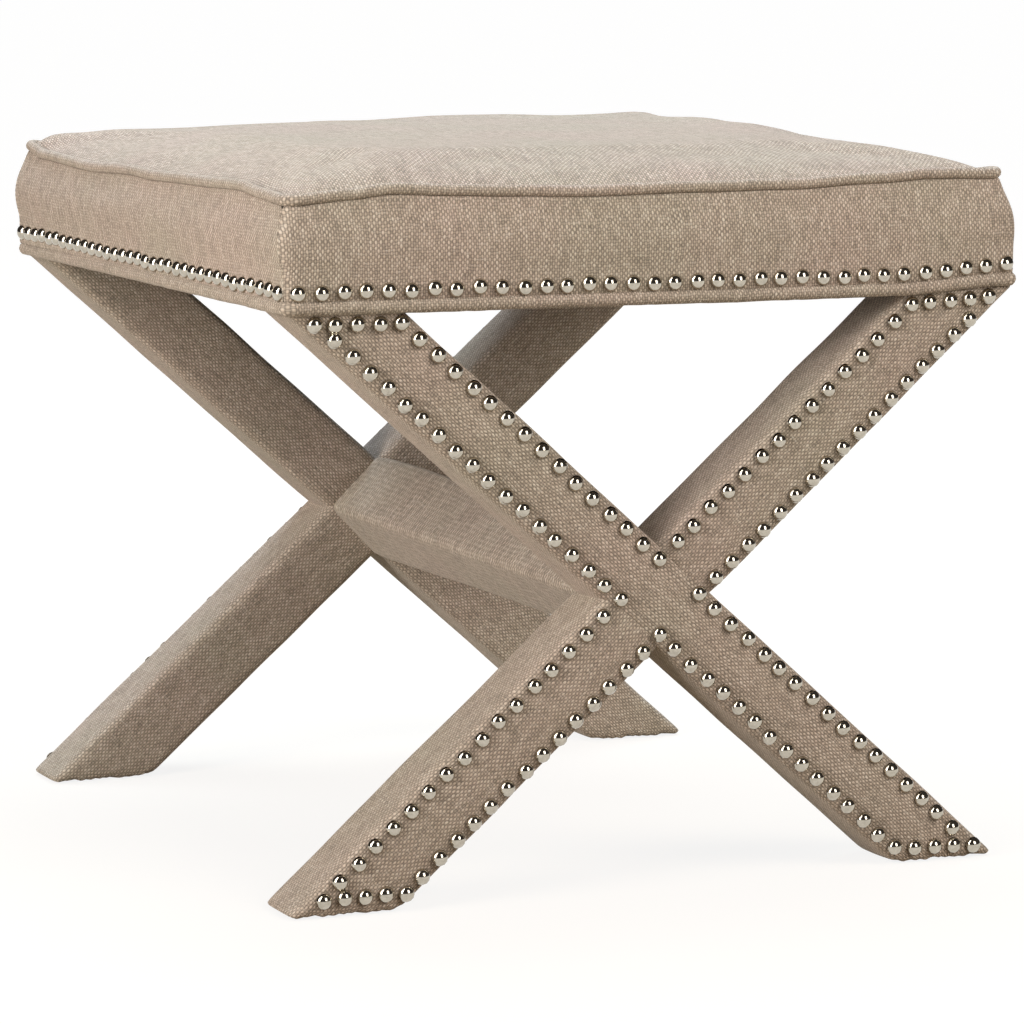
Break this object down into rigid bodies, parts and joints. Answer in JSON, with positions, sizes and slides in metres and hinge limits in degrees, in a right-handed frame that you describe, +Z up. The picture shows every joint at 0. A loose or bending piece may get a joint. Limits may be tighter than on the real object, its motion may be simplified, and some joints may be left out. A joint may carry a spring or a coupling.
{
  "type": "ottoman",
  "caption": "Square upholstered ottoman with a crowned seat on crossed-leg frames joined by a stretcher, covered in linen and trimmed with dome nails.",
  "frame": {"origin": "on the floor, under the middle of the seat", "axes": "+Z up; X along the crossed frames; Y along the stretcher, with the front frame at -Y"},
  "size_m": [0.5092, 0.5092, 0.4667],
  "materials": {
    "linen": "coarse plain-weave oatmeal linen with slubs",
    "nickel": "polished nickel-plated dome",
    "wadding": "bonded polyester fibre",
    "foam": "open-cell polyurethane foam",
    "hardwood": "planed hardwood",
    "dowel_beech": "fluted beech, plain here",
    "plywood": "sanded birch plywood",
    "dust_cloth": "black spun-bonded cambric",
    "zinc_steel": "zinc-plated steel",
    "glide_nylon": "moulded nylon"
  },
  "bodies": {
    "root": {"back_rail": "hardwood", "boxing_back": "linen", "boxing_front": "linen", "boxing_left": "linen", "boxing_right": "linen", "deck_screws": "zinc_steel", "dust_cover": "dust_cloth", "front_arm_dowels": "dowel_beech", "front_frame_nails": "nickel", "front_left_glide": "glide_nylon", "front_lower_arm_core": "hardwood", "front_lower_arm_cover": "linen", "front_lower_arm_wadding": "wadding", "front_rail": "hardwood", "front_right_glide": "glide_nylon", "front_through_leg_core": "hardwood", "front_through_leg_cover": "linen", "front_through_leg_wadding": "wadding", "front_upper_arm_core": "hardwood", "front_upper_arm_cover": "linen", "front_upper_arm_wadding": "wadding", "left_rail": "hardwood", "leg_screw_washers": "zinc_steel", "leg_screws": "zinc_steel", "lower_welt": "linen", "rail_dowels": "dowel_beech", "rear_arm_dowels": "dowel_beech", "rear_frame_nails": "nickel", "rear_left_glide": "glide_nylon", "rear_lower_arm_core": "hardwood", "rear_lower_arm_cover": "linen", "rear_lower_arm_wadding": "wadding", "rear_right_glide": "glide_nylon", "rear_through_leg_core": "hardwood", "rear_through_leg_cover": "linen", "rear_through_leg_wadding": "wadding", "rear_upper_arm_core": "hardwood", "rear_upper_arm_cover": "linen", "rear_upper_arm_wadding": "wadding", "right_rail": "hardwood", "seat_back_nails": "nickel", "seat_deck": "plywood", "seat_foam": "foam", "seat_front_nails": "nickel", "seat_left_nails": "nickel", "seat_right_nails": "nickel", "seat_top_panel": "linen", "seat_wadding": "wadding", "stretcher_bolt_washers": "zinc_steel", "stretcher_bolts": "zinc_steel", "stretcher_core": "hardwood", "stretcher_cover": "linen", "stretcher_dowels": "dowel_beech", "stretcher_wadding": "wadding", "upper_welt": "linen"}
  },
  "joints": []
}
